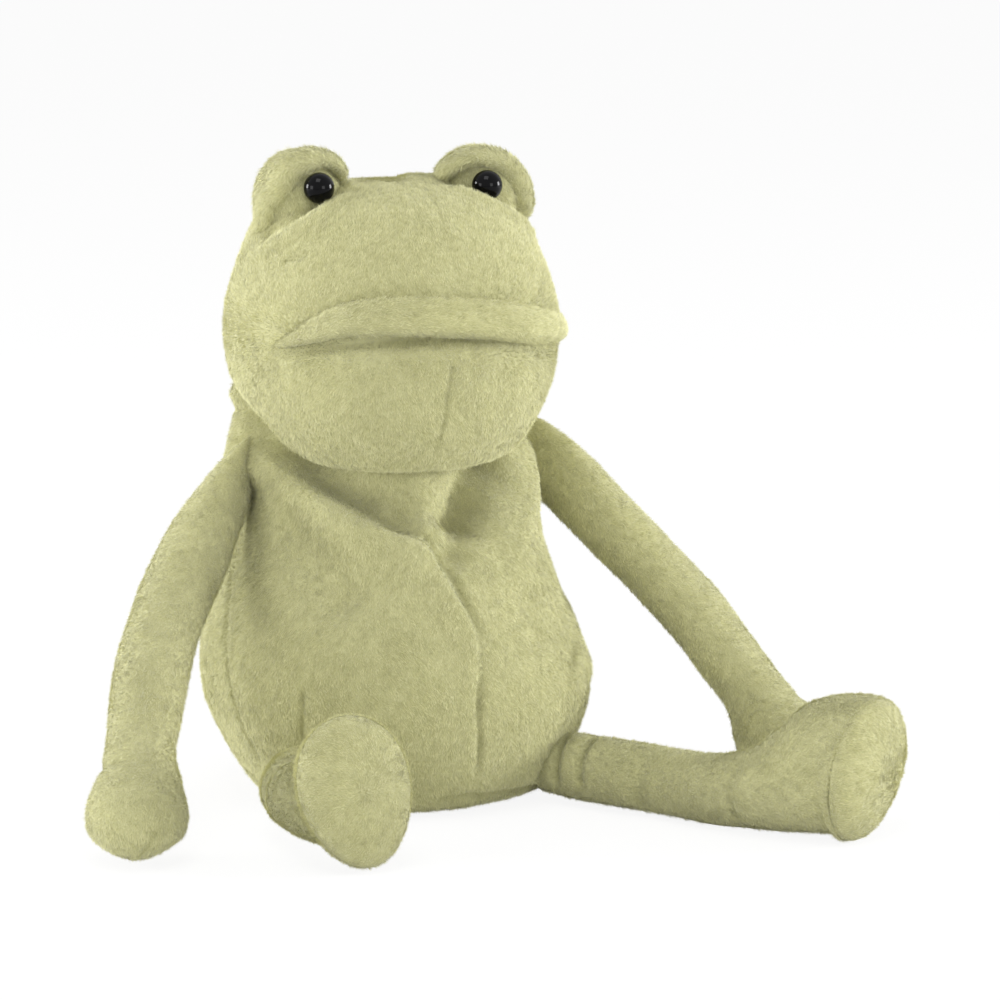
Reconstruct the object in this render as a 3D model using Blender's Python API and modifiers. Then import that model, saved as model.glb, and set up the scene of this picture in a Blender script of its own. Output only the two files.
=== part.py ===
"""A sitting plush frog: sewn covers over their fillings, bead eyes with lock washers, and limbs that
hinge on round roots.

Metres, +Z up, the frog faces -Y and its left is +X. The origin is the middle of the seat panel.
"""

import math

import bmesh
import bpy
from mathutils import Matrix, Vector

MM = 0.001

# Driving sizes
COVER_THICKNESS = 1.5 * MM
SEAM_GAP = 0.35 * MM
FLAT_DEPTH = 0.5 * MM
FILLING_SLACK = 0.95 * MM
HEAD_FILLING_SLACK = 1.9 * MM
CHIN_FILLING_RISE = 4 * MM
SEAT_FILLING_START = 5.5 * MM
CROWN_FILLING_DROP = 8.5 * MM
CROWN_HOLE_INSET = 3 * MM
CUT_OVERRUN = 4 * MM

BODY_WIDTH = 104 * MM
BODY_DEPTH = 94 * MM
BODY_HEIGHT = 106 * MM
PELLET_HEIGHT = 38 * MM
CHEST_HOLLOW_DEPTH = 8.5 * MM
CHEST_VALLEY_DEPTH = 7 * MM
COLLAR_RECESS_DEPTH = 4.5 * MM
PLEAT_RISE = 5.5 * MM
PRESS_REACH = 10 * MM
PRESS_REACH_DEG = 18
FILLING_PRESS_SPREAD = 1.5

HEAD_WIDTH = 84.5 * MM
HEAD_DEPTH = 79 * MM
HEAD_HEIGHT = 71 * MM
HEAD_BASE_HEIGHT = 86.5 * MM
HEAD_SIDE_SHIFT = -1 * MM

NECK_PIVOT_BACK = 3 * MM
NECK_PIVOT_HEIGHT = 98 * MM
NOD_FORWARD_DEG = 12
NOD_BACK_DEG = -20

SHOULDER_BACK = 2.5 * MM
SHOULDER_HEIGHT = 91 * MM
ARM_ROOT_RADIUS = 6 * MM
ARM_RADIUS = 9.1 * MM
HAND_RADIUS = 13 * MM
ARM_SPREAD = 47.5 * MM
ARM_FORWARD = 53 * MM

HIP_TURN_DEG = 47
HIP_CLEARANCE = 1.2 * MM
LEG_ROOT_RADIUS = 6.6 * MM
LEG_RADIUS = 8.8 * MM
SOLE_WIDTH = 29 * MM
SOLE_HEIGHT = 38 * MM
SOLE_CROWN = 2 * MM
FOOT_LENGTH = 28 * MM
LEFT_ANKLE_SIDE = 68 * MM
LEFT_ANKLE_FORWARD = 79 * MM
LEFT_FOOT_TURN_DEG = 32
RIGHT_ANKLE_SIDE = 45 * MM
RIGHT_ANKLE_FORWARD = 52 * MM
RIGHT_FOOT_TURN_DEG = -3

DOME_SIDE = 25.6 * MM
DOME_BACK = 2.8 * MM
DOME_RISE = 68 * MM
DOME_WIDTH = 23.4 * MM
DOME_DEPTH = 24 * MM
DOME_TALL = 29 * MM

EYE_RADIUS = 3.9 * MM
EYE_PROUD = 1.7 * MM
SHANK_RADIUS = 1.2 * MM
SHANK_LENGTH = 9 * MM
SHANK_CLEARANCE = 0.1 * MM
WASHER_RADIUS = 3.6 * MM
WASHER_THICKNESS = 0.9 * MM
WASHER_SETBACK = 1.9 * MM

LIP_RADIUS = 4.4 * MM
LIP_RISE = 39.5 * MM
LIP_DROP = 6 * MM
LIP_FRONT = 43 * MM
LIP_HALF_WIDTH = 41 * MM
LIP_END_FRONT = 14 * MM

BROW_RADIUS = 3 * MM

FLOOR_CUT_SIZE = 400 * MM

# Points around each cage, before subdivision doubles them
BODY_SIDES = 12
LIMB_SIDES = 7
ROLL_SIDES = 6
SOLE_SIDES = 10
FILLING_SIDES = 12
DOME_SEGMENTS = 14
DOME_ROWS = 9
BEAD_SEGMENTS = 14
BEAD_ROWS = 9
ROD_SIDES = 12
WASHER_SIDES = 18
PANEL_SIDES = 24

# Rows of height, half width, half depth and backward shift, each a share of the whole form
BODY_SECTION_SHARES = (
    (0.004, 0.65, 0.63, 0.000),
    (0.035, 0.80, 0.79, 0.000),
    (0.115, 0.93, 0.93, -0.010),
    (0.275, 1.00, 1.00, -0.010),
    (0.470, 0.91, 0.95, 0.000),
    (0.650, 0.77, 0.83, 0.010),
    (0.800, 0.69, 0.70, 0.020),
    (0.915, 0.64, 0.60, 0.030),
    (1.000, 0.54, 0.47, 0.040),
)
# Where the chest cover sinks in, or rises where it is less than 0: the way it faces in degrees
# from the frog's left, its share of the body's height, and how deep it is
CHEST_PRESSES = (
    (297, 0.80, CHEST_HOLLOW_DEPTH),
    (276, 0.68, CHEST_VALLEY_DEPTH),
    (232, 0.80, COLLAR_RECESS_DEPTH),
    (247, 0.65, -PLEAT_RISE),
)
HEAD_SECTION_SHARES = (
    (0.00, 0.28, 0.25, -0.125),
    (0.03, 0.60, 0.61, -0.125),
    (0.13, 0.80, 0.84, -0.110),
    (0.27, 0.93, 0.96, -0.090),
    (0.44, 1.00, 1.01, -0.065),
    (0.61, 0.98, 0.96, -0.050),
    (0.78, 0.89, 0.86, -0.025),
    (0.89, 0.77, 0.71, 0.000),
    (0.965, 0.55, 0.48, 0.025),
    (1.00, 0.16, 0.13, 0.038),
)
# Rows of outward, forward and height shares of the arm's reach
ARM_PATH_SHARES = (
    (-0.085, 0.00, 1.045),
    (-0.045, 0.00, 1.025),
    (0.02, 0.00, 0.985),
    (0.13, 0.00, 0.890),
    (0.31, 0.14, 0.755),
    (0.51, 0.30, 0.630),
    (0.68, 0.475, 0.495),
    (0.82, 0.665, 0.355),
    (0.90, 0.80, 0.268),
    (0.97, 0.92, 0.155),
    (1.01, 0.985, 0.070),
    (1.02, 1.01, 0.006),
)
ARM_RADIUS_SHARES = (0.34, 0.58, 0.65, 0.70, 0.90, 0.98, 1.0, 0.98, 1.05)
HAND_RADIUS_SHARES = (0.985, 0.94, 0.59)
WRIST_ROW = 8
# Rows of distance, width and height shares: from hip 0 to ankle 1, then from ankle 0 to sole 1
ROOT_SHARES = ((-0.9, 0.34), (-0.5, 0.62))
SHIN_SHARES = ((0.00, 0.76, 0.76), (0.16, 0.90, 0.92), (0.50, 0.97, 0.99), (0.85, 0.99, 1.0))
FOOT_SHARES = (
    (0.08, 1.05, 1.06),
    (0.30, 1.20, 1.32),
    (0.55, 1.46, 1.76),
    (0.82, 1.62, 2.12),
    (1.00, 1.64, 2.12),
)
ANKLE_ROW = 6
LIP_ROW_COUNT = 9
BROW_ANGLES_DEG = (-62, -35, -8, 20, 48, 76)
BROW_RADIUS_SHARES = (0.35, 0.85, 1.0, 1.0, 0.85, 0.35)

BROW_LEAN_SHARE = 0.62
LIP_TIP_SHARE = 0.08
EYE_LOOK_SHARES = (-0.27, -0.87, 0.40)
# Rows of forward reach and width of the sole panel's crown
SOLE_CROWN_SHARES = ((0.5, 0.68), (0.8, 0.3))
# How one level of subdivision draws a row towards the rows before and after it
DRAWN_IN_SHARES = (1 / 8, 6 / 8, 1 / 8)

SAGE = (0.42, 0.45, 0.22)
FILLING_WHITE = (0.82, 0.82, 0.78)
PELLET_GREY = (0.55, 0.56, 0.56)
BEAD_BLACK = (0.008, 0.008, 0.009)
WASHER_WHITE = (0.70, 0.70, 0.68)


def clear_scene():
    for obj in list(bpy.data.objects):
        bpy.data.objects.remove(obj, do_unlink=True)


def collection(name, hidden=False):
    made = bpy.data.collections.new(name)
    bpy.context.scene.collection.children.link(made)
    made.hide_render = hidden
    return made


def plain_material(name, colour, roughness):
    made = bpy.data.materials.new(name)
    made.use_nodes = True
    shader = made.node_tree.nodes["Principled BSDF"]
    shader.inputs["Base Color"].default_value = (*colour, 1)
    shader.inputs["Roughness"].default_value = roughness
    shader.inputs["Metallic"].default_value = 0
    return made


def add_object(name, mesh, home):
    obj = bpy.data.objects.new(name, mesh)
    home.objects.link(obj)
    return obj


def finish_piece(obj, material):
    obj.data.materials.append(material)
    obj.data.shade_smooth()
    return obj


def as_cutter(obj):
    obj.hide_render = True
    obj.display_type = "WIRE"
    return obj


def subdivide(obj, levels=1):
    smooth = obj.modifiers.new("Smooth", "SUBSURF")
    smooth.levels = levels
    smooth.render_levels = levels


def hollow(obj, wall=COVER_THICKNESS):
    shell = obj.modifiers.new("Cover", "SOLIDIFY")
    shell.thickness = wall
    shell.offset = -1


def boolean(obj, tool, operation="DIFFERENCE", solver="EXACT"):
    cut = obj.modifiers.new(operation.title(), "BOOLEAN")
    cut.operation = operation
    cut.object = tool
    cut.solver = solver


def swell_for(sides):
    """How much larger a cage ring is drawn, so that subdivision lands on the true size."""
    return 4 / (3 + math.cos(2 * math.pi / sides))


def ring(centre, across, up, sides, smoothed=True):
    """Points on the oval with half axes across and up."""
    swell = swell_for(sides) if smoothed else 1
    turn = 2 * math.pi / sides
    return [
        centre + (across * math.cos(i * turn) + up * math.sin(i * turn)) * swell
        for i in range(sides)
    ]


def loft_mesh(name, rings, close_start, close_end):
    """A quad cage through the rings. Each ring runs anticlockwise about the direction of travel."""
    bm = bmesh.new()
    rows = [[bm.verts.new(point) for point in points] for points in rings]
    for low, high in zip(rows, rows[1:]):
        for i in range(len(low)):
            j = (i + 1) % len(low)
            bm.faces.new((low[i], low[j], high[j], high[i]))
    if close_start:
        bm.faces.new(reversed(rows[0]))
    if close_end:
        bm.faces.new(rows[-1])
    mesh = bpy.data.meshes.new(name)
    bm.to_mesh(mesh)
    bm.free()
    return mesh


def upright_sections(shares, width, depth, height, base, side=0.0):
    """Level oval sections as (centre, half width, half depth)."""
    return [
        (Vector((side, back * depth, base + rise * height)), wide * width / 2, deep * depth / 2)
        for rise, wide, deep, back in shares
    ]


def upright_rings(sections, sides, inset=0.0, smoothed=True):
    return [
        ring(centre, Vector((wide - inset, 0, 0)), Vector((0, deep - inset, 0)), sides, smoothed)
        for centre, wide, deep in sections
    ]


def pressed_in(rings, sections, spread=1.0):
    """The rings drawn in towards their middles at the hollows of the chest cover, each a bell
    about its own direction and height. The filling's bells spread wider and it doesn't rise, so
    it stays clear."""
    presses = [press for press in CHEST_PRESSES if press[2] > 0 or spread == 1.0]
    made = []
    for points, (centre, _, _) in zip(rings, sections):
        pressed = []
        for point in points:
            out = point - centre
            facing = math.degrees(math.atan2(out.y, out.x)) % 360
            depth = 0.0
            for direction, share, deepest in presses:
                aside = (facing - direction) / (PRESS_REACH_DEG * spread)
                above = (point.z - share * BODY_HEIGHT) / (PRESS_REACH * spread)
                depth += deepest * math.exp(-(aside**2) - above**2)
            pressed.append(point - out.normalized() * depth)
        made.append(pressed)
    return made


def path_rings(points, half_widths, half_heights, reference, sides, inset=0.0, smoothed=True):
    """Oval sections square to a path, kept from twisting by a reference direction."""
    rings = []
    for i, centre in enumerate(points):
        along = (points[min(i + 1, len(points) - 1)] - points[max(i - 1, 0)]).normalized()
        up = (reference - along * reference.dot(along)).normalized()
        across = up.cross(along)
        wide = across * (half_widths[i] - inset)
        tall = up * (half_heights[i] - inset)
        rings.append(ring(centre, wide, tall, sides, smoothed))
    return rings


def drawn_in(rows):
    """Rows pulled in as one level of subdivision does, with the end rows kept."""
    inner = [
        [sum((v * share for v, share in zip(vs, DRAWN_IN_SHARES)), vs[0] * 0) for vs in zip(*three)]
        for three in zip(rows, rows[1:], rows[2:])
    ]
    return [rows[0], *inner, rows[-1]]


def filling(name, rings, home, material):
    """A closed filling, left faceted because its cover hides it."""
    obj = add_object(name, loft_mesh(name, rings, True, True), home)
    return finish_piece(obj, material)


def upright_filling(name, sections, home, material, slack=FILLING_SLACK, press=False):
    inset = COVER_THICKNESS + SEAM_GAP + slack
    rings = upright_rings(sections, FILLING_SIDES, inset, smoothed=False)
    if press:
        rings = pressed_in(rings, sections, FILLING_PRESS_SPREAD)
    return filling(name, rings, home, material)


def body_sections():
    return upright_sections(BODY_SECTION_SHARES, BODY_WIDTH, BODY_DEPTH, BODY_HEIGHT, 0.0)


def head_sections():
    return upright_sections(
        HEAD_SECTION_SHARES, HEAD_WIDTH, HEAD_DEPTH, HEAD_HEIGHT, HEAD_BASE_HEIGHT, HEAD_SIDE_SHIFT
    )


def clipped(sections, low, high):
    """The sections from height low to height high, with new ones worked out at both ends."""
    made = []
    for before, after in zip(sections, sections[1:]):
        span = after[0].z - before[0].z
        for height in (low, high):
            share = (height - before[0].z) / span
            if 0 <= share < 1:
                made.append(
                    (
                        before[0].lerp(after[0], share),
                        before[1] + (after[1] - before[1]) * share,
                        before[2] + (after[2] - before[2]) * share,
                    )
                )
    made += [section for section in sections if low < section[0].z < high]
    return sorted(made, key=lambda section: section[0].z)


def solid_cutter(name, sections, grow, home, overrun=0.0):
    """The whole outer form of a cover, grown by a gap on every side and carried on past both ends."""
    rings = upright_rings(sections, BODY_SIDES, -grow)
    for end, step in ((0, -1), (-1, 1)):
        lift = Vector((0, 0, step * grow))
        rings[end] = [point + lift for point in rings[end]]
        if overrun:
            more = Vector((0, 0, step * overrun))
            rings.insert(0 if end == 0 else len(rings), [point + more for point in rings[end]])
    obj = add_object(name, loft_mesh(name, rings, True, True), home)
    subdivide(obj)
    return as_cutter(obj)


def turned_about_neck(obj, degrees):
    pivot = Vector((0, NECK_PIVOT_BACK, NECK_PIVOT_HEIGHT))
    turn = Matrix.Rotation(math.radians(degrees), 4, "X")
    obj.matrix_world = Matrix.Translation(pivot) @ turn @ Matrix.Translation(-pivot)
    return obj


def box_cutter(name, size, top, home):
    bpy.ops.mesh.primitive_cube_add(size=size, location=(0, 0, top - size / 2))
    obj = bpy.context.object
    obj.name = name
    for old in list(obj.users_collection):
        old.objects.unlink(obj)
    home.objects.link(obj)
    return as_cutter(obj)


def ellipsoid(name, centre, radii, home, segments=DOME_SEGMENTS, rows=DOME_ROWS):
    mesh = bpy.data.meshes.new(name)
    bm = bmesh.new()
    bmesh.ops.create_uvsphere(bm, u_segments=segments, v_segments=rows, radius=1.0)
    bmesh.ops.scale(bm, vec=radii, verts=bm.verts)
    bm.to_mesh(mesh)
    bm.free()
    obj = add_object(name, mesh, home)
    obj.location = centre
    return obj


def rod(name, start, end, radius, home, sides=ROD_SIDES):
    """A closed cylinder from start to end."""
    mesh = bpy.data.meshes.new(name)
    bm = bmesh.new()
    length = (end - start).length
    bmesh.ops.create_cone(
        bm, cap_ends=True, segments=sides, radius1=radius, radius2=radius, depth=length
    )
    bm.to_mesh(mesh)
    bm.free()
    obj = add_object(name, mesh, home)
    obj.rotation_mode = "QUATERNION"
    obj.rotation_quaternion = (end - start).to_track_quat("Z", "Y")
    obj.location = (start + end) / 2
    return obj


def roll_along(name, points, radii, home):
    """A tapered closed roll through the points, as a mesh cage."""
    rings = path_rings(points, radii, radii, Vector((0, 0, 1)), ROLL_SIDES)
    obj = add_object(name, loft_mesh(name, rings, True, True), home)
    subdivide(obj)
    return obj


def make_torso(parts, cutters, cloth, fibre, pellets):
    sections = body_sections()
    rings = pressed_in(upright_rings(sections, BODY_SIDES), sections)
    skin = add_object("body_skin", loft_mesh("body_skin", rings, False, False), parts)
    subdivide(skin)
    hollow(skin)
    finish_piece(skin, cloth)

    inside = drawn_in(sections)
    seat = clipped(inside, SEAT_FILLING_START, PELLET_HEIGHT)
    seat[0] = (seat[0][0], seat[0][1] - COVER_THICKNESS, seat[0][2] - COVER_THICKNESS)
    upright_filling("seat_pellets", seat, parts, pellets)
    chest = clipped(inside, PELLET_HEIGHT + FILLING_SLACK, BODY_HEIGHT - SEAM_GAP)
    upright_filling("body_stuffing", chest, parts, fibre, press=True)

    base = sections[0]
    panel = rod(
        "seat_panel",
        Vector((0, 0, 0)),
        Vector((0, 0, COVER_THICKNESS)),
        1.0,
        parts,
        PANEL_SIDES,
    )
    panel_inset = COVER_THICKNESS + SEAM_GAP
    panel.data.transform(Matrix.Diagonal((base[1] - panel_inset, base[2] - panel_inset, 1, 1)))
    finish_piece(panel, cloth)
    return solid_cutter("body_cutter", sections, SEAM_GAP, cutters, CUT_OVERRUN)


def make_head(parts, cutters, cloth, fibre, body_cutter):
    sections = head_sections()
    skin = add_object(
        "head_skin", loft_mesh("head_skin", upright_rings(sections, BODY_SIDES), True, True), parts
    )
    subdivide(skin)
    hollow(skin)
    finish_piece(skin, cloth)

    inside = drawn_in(sections)
    low, high = inside[1][0].z + CHIN_FILLING_RISE, inside[-1][0].z - CROWN_FILLING_DROP
    inside = clipped(inside, low, high)
    stuffing = upright_filling("head_stuffing", inside, parts, fibre, HEAD_FILLING_SLACK)

    necks = [body_cutter]
    for label, degrees in (("forward", -NOD_FORWARD_DEG), ("back", -NOD_BACK_DEG)):
        neck = solid_cutter(
            f"neck_{label}_cutter", body_sections(), SEAM_GAP, cutters, CUT_OVERRUN
        )
        necks.append(turned_about_neck(neck, degrees))
    for neck in necks:
        boolean(skin, neck)
        boolean(stuffing, neck, solver="MANIFOLD")
    return skin, solid_cutter("head_cutter", sections, SEAM_GAP, cutters)


def make_lip(parts, cloth, head_cutter):
    """The rolled upper lip, on an ellipse about the head that dips to its ends."""
    points, radii = [], []
    reach = math.acos(LIP_END_FRONT / LIP_FRONT)
    for i in range(LIP_ROW_COUNT):
        share = 2 * i / (LIP_ROW_COUNT - 1) - 1
        turn = share * reach
        side = LIP_HALF_WIDTH * math.sin(turn) / math.sin(reach) + HEAD_SIDE_SHIFT
        height = HEAD_BASE_HEIGHT + LIP_RISE - LIP_DROP * share**2
        points.append(Vector((side, -LIP_FRONT * math.cos(turn), height)))
        radii.append(LIP_RADIUS * math.sqrt(1 + LIP_TIP_SHARE - share**4))
    lip = roll_along("upper_lip", points, radii, parts)
    boolean(lip, head_cutter)
    return finish_piece(lip, cloth)


def make_eye(side, label, parts, cutters, cloth, bead_black, washer_white, head_skin, head_cutter):
    """A stuffed dome with its brow roll, and a bead whose shank passes the cover to a lock washer."""
    centre = Vector((side * DOME_SIDE + HEAD_SIDE_SHIFT, DOME_BACK, HEAD_BASE_HEIGHT + DOME_RISE))
    radii = Vector((DOME_WIDTH / 2, DOME_DEPTH / 2, DOME_TALL / 2))
    look = EYE_LOOK_SHARES
    out = Vector((look[0] * side, look[1], look[2])).normalized()
    surface = 1 / math.sqrt(sum((out[i] / radii[i]) ** 2 for i in range(3)))
    bead_at = centre + out * (surface + EYE_PROUD)

    dome = ellipsoid(f"{label}_eye_dome", centre, radii, parts)
    hollow(dome)
    boolean(dome, head_cutter)

    hole_radii = radii - Vector((1, 1, 1)) * CROWN_HOLE_INSET
    hole = as_cutter(ellipsoid(f"{label}_crown_cutter", centre, hole_radii, cutters))
    boolean(head_skin, hole)

    bead = ellipsoid(f"{label}_eye", bead_at, Vector((1, 1, 1)) * EYE_RADIUS, parts)
    shank_end = bead_at - out * SHANK_LENGTH
    shank = as_cutter(rod(f"{label}_shank_form", bead_at, shank_end, SHANK_RADIUS, cutters))
    boolean(bead, shank, "UNION")

    seat_radius = EYE_RADIUS + SEAM_GAP
    seat = ellipsoid(f"{label}_seat_cutter", bead_at, Vector((1, 1, 1)) * seat_radius, cutters)
    passage = rod(
        f"{label}_passage_cutter", bead_at, shank_end, SHANK_RADIUS + SHANK_CLEARANCE, cutters
    )
    for tool in (as_cutter(seat), as_cutter(passage)):
        boolean(dome, tool)

    washer_from = bead_at - out * (EYE_RADIUS + WASHER_SETBACK)
    washer_to = washer_from - out * WASHER_THICKNESS
    washer = rod(f"{label}_eye_washer", washer_from, washer_to, WASHER_RADIUS, parts, WASHER_SIDES)
    boolean(washer, passage)

    brow_points, brow_radii = [], []
    sideways = out.cross(Vector((0, 0, 1))).normalized()
    upward = sideways.cross(out)
    for degrees, share in zip(BROW_ANGLES_DEG, BROW_RADIUS_SHARES):
        swing = math.radians(degrees)
        lean = out + (upward * math.cos(swing) + sideways * math.sin(swing)) * BROW_LEAN_SHARE
        lean.normalize()
        reach = 1 / math.sqrt(sum((lean[i] / radii[i]) ** 2 for i in range(3)))
        brow_points.append(centre + lean * reach)
        brow_radii.append(BROW_RADIUS * share)
    brow = roll_along(f"{label}_brow", brow_points, brow_radii, parts)
    dome_form = ellipsoid(
        f"{label}_dome_cutter", centre, radii + Vector((1, 1, 1)) * SEAM_GAP, cutters
    )
    for tool in (as_cutter(dome_form), seat, head_cutter):
        boolean(brow, tool)

    for obj, material in (
        (dome, cloth),
        (brow, cloth),
        (bead, bead_black),
        (washer, washer_white),
    ):
        finish_piece(obj, material)


def hinge_empty(name, place, home):
    empty = bpy.data.objects.new(name, None)
    empty.location = place
    home.objects.link(empty)
    return empty


def hang_on(empty, *pieces):
    for piece in pieces:
        piece.parent = empty
        piece.matrix_parent_inverse = Matrix.Translation(-empty.location)


def body_oval(height):
    """Centre, half width and half depth of the body's cover at a height."""
    return clipped(drawn_in(body_sections()), height, height + FLAT_DEPTH)[0]


def shoulder_pivot(side):
    """The arm's round root clears the body's side by the seam gap."""
    half_width = body_oval(SHOULDER_HEIGHT)[1]
    return Vector((side * (half_width + ARM_ROOT_RADIUS + SEAM_GAP), SHOULDER_BACK, SHOULDER_HEIGHT))


def hip_pivot(side):
    """The leg's round root clears the body's front corner, which swells out above it."""
    centre, half_width, half_depth = body_oval(LEG_RADIUS - FLAT_DEPTH)
    turn = math.radians(HIP_TURN_DEG)
    out = Vector((side * math.sin(turn), -math.cos(turn), 0))
    reach = 1 / math.hypot(out.x / half_width, out.y / half_depth)
    return centre + out * (reach + LEG_ROOT_RADIUS + HIP_CLEARANCE)


def make_arm(side, label, parts, cloth, fibre, pellets, floor_cutter):
    pivot = shoulder_pivot(side)
    points = [
        Vector(
            (
                pivot.x + side * out * ARM_SPREAD,
                pivot.y - front * ARM_FORWARD,
                rise * SHOULDER_HEIGHT,
            )
        )
        for out, front, rise in ARM_PATH_SHARES
    ]
    radii = [share * ARM_RADIUS for share in ARM_RADIUS_SHARES]
    radii += [share * HAND_RADIUS for share in HAND_RADIUS_SHARES]
    reference = Vector((ARM_FORWARD, side * ARM_SPREAD, 0)).normalized()
    rings = path_rings(points, radii, radii, reference, LIMB_SIDES)
    name = f"{label}_arm_skin"
    skin = add_object(name, loft_mesh(name, rings, False, True), parts)
    subdivide(skin)
    hollow(skin)
    boolean(skin, floor_cutter)
    finish_piece(skin, cloth)

    inner = COVER_THICKNESS + SEAM_GAP + FILLING_SLACK
    inside = path_rings(points, radii, radii, reference, FILLING_SIDES, inner, smoothed=False)
    inside = drawn_in(inside)
    stuffing = filling(f"{label}_arm_stuffing", inside[3:WRIST_ROW], parts, fibre)
    weight = filling(f"{label}_hand_pellets", inside[WRIST_ROW:-1], parts, pellets)
    hang_on(hinge_empty(f"{label}_shoulder", pivot, parts), skin, stuffing, weight)


def leg_line(side, ankle_side, ankle_forward, turn_deg):
    """Rows of centre, half width and half height from the round root past the ankle to the sole."""
    pivot = hip_pivot(side)
    hip = Vector((pivot.x, pivot.y, 0))
    shin = Vector((side * ankle_side, -ankle_forward, 0)) - hip
    turn = math.radians(turn_deg)
    foot = Vector((side * math.sin(turn), -math.cos(turn), 0))
    rows = []
    for share, size in ROOT_SHARES:
        back = shin.normalized() * (share * LEG_ROOT_RADIUS)
        rows.append((hip + back, size, size))
    for share, wide, tall in SHIN_SHARES:
        rows.append((hip + shin * share, wide, tall))
    for share, wide, tall in FOOT_SHARES:
        rows.append((hip + shin + foot * (FOOT_LENGTH * share), wide, tall))
    points, widths, heights = [], [], []
    for centre, wide, tall in rows:
        rise = max(tall, 1) * LEG_RADIUS - FLAT_DEPTH
        points.append(centre + Vector((0, 0, rise)))
        widths.append(wide * LEG_RADIUS)
        heights.append(tall * LEG_RADIUS)
    return points, widths, heights


def make_sole(label, centre, along, parts, cloth):
    """The oval sole panel, crowned a little by the filling behind it."""
    upright = Vector((0, 0, 1))
    across = upright.cross(along).normalized()
    half_width = SOLE_WIDTH / 2 - COVER_THICKNESS / 2
    half_height = SOLE_HEIGHT / 2 - COVER_THICKNESS
    crown = [(0, 1), (COVER_THICKNESS, 1)]
    crown += [(COVER_THICKNESS + SOLE_CROWN * reach, wide) for reach, wide in SOLE_CROWN_SHARES]
    rings = [
        ring(
            centre + along * (SEAM_GAP + forward),
            across * (half_width * share),
            upright * (half_height * share),
            SOLE_SIDES,
        )
        for forward, share in crown
    ]
    name = f"{label}_sole"
    sole = add_object(name, loft_mesh(name, rings, True, True), parts)
    subdivide(sole)
    return finish_piece(sole, cloth)


def make_leg(side, label, shape, parts, cloth, fibre, pellets, floor_cutter):
    points, widths, heights = leg_line(side, *shape)
    upright = Vector((0, 0, 1))
    rings = path_rings(points, widths, heights, upright, LIMB_SIDES)
    name = f"{label}_leg_skin"
    skin = add_object(name, loft_mesh(name, rings, False, False), parts)
    subdivide(skin)
    hollow(skin)
    boolean(skin, floor_cutter)
    finish_piece(skin, cloth)

    inner = COVER_THICKNESS + SEAM_GAP + FILLING_SLACK
    inside = path_rings(points, widths, heights, upright, FILLING_SIDES, inner, smoothed=False)
    inside = drawn_in(inside)
    stuffing = filling(f"{label}_leg_stuffing", inside[2:ANKLE_ROW], parts, fibre)
    weight = filling(f"{label}_foot_pellets", inside[ANKLE_ROW + 1 :], parts, pellets)
    along = (points[-1] - points[-2]).normalized()
    sole = make_sole(label, points[-1], along, parts, cloth)
    hang_on(hinge_empty(f"{label}_hip", hip_pivot(side), parts), skin, stuffing, weight, sole)


def main():
    clear_scene()
    parts = collection("plush_frog")
    cutters = collection("cutters", hidden=True)
    cloth = plain_material("sage_plush", SAGE, 0.95)
    fibre = plain_material("fibre_filling", FILLING_WHITE, 1.0)
    pellets = plain_material("plastic_pellets", PELLET_GREY, 0.5)
    bead_black = plain_material("eye_bead", BEAD_BLACK, 0.08)
    washer_white = plain_material("washer_plastic", WASHER_WHITE, 0.45)

    floor_cutter = box_cutter("floor_cutter", FLOOR_CUT_SIZE, 0.0, cutters)
    body_cutter = make_torso(parts, cutters, cloth, fibre, pellets)
    head_skin, head_cutter = make_head(parts, cutters, cloth, fibre, body_cutter)
    make_lip(parts, cloth, head_cutter)
    for side, label in ((1, "left"), (-1, "right")):
        make_eye(
            side, label, parts, cutters, cloth, bead_black, washer_white, head_skin, head_cutter
        )
        make_arm(side, label, parts, cloth, fibre, pellets, floor_cutter)
    left = (LEFT_ANKLE_SIDE, LEFT_ANKLE_FORWARD, LEFT_FOOT_TURN_DEG)
    right = (RIGHT_ANKLE_SIDE, RIGHT_ANKLE_FORWARD, RIGHT_FOOT_TURN_DEG)
    for side, label, shape in ((1, "left", left), (-1, "right", right)):
        make_leg(side, label, shape, parts, cloth, fibre, pellets, floor_cutter)


main()
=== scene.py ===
"""A sitting plush frog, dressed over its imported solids: sewn covers with their folds and seams,
short pile on every cover, hooded bead eyes and a rolled upper lip.

The tables are in millimetres, in the row frame: the frog faces -Y, its left is +X and +Z is up.
"""

import math

import bpy
import numpy as np
from mathutils import Matrix, Vector


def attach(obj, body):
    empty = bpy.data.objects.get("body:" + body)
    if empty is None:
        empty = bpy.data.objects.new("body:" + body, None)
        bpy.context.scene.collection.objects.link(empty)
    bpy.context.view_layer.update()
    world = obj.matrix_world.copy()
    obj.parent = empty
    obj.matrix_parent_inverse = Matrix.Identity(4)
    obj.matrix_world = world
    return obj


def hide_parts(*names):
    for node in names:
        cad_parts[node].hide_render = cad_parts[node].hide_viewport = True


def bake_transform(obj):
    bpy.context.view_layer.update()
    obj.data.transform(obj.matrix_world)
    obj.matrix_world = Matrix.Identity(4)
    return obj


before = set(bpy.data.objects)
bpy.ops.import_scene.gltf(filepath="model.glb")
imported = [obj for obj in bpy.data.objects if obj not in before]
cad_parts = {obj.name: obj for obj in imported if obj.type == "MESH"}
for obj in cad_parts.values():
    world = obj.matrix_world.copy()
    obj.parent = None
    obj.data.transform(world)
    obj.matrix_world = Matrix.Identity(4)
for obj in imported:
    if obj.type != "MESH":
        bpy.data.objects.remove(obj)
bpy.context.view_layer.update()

MM = 0.001
FLOOR_REST = 0.5
END_FADE = 0.2

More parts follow.
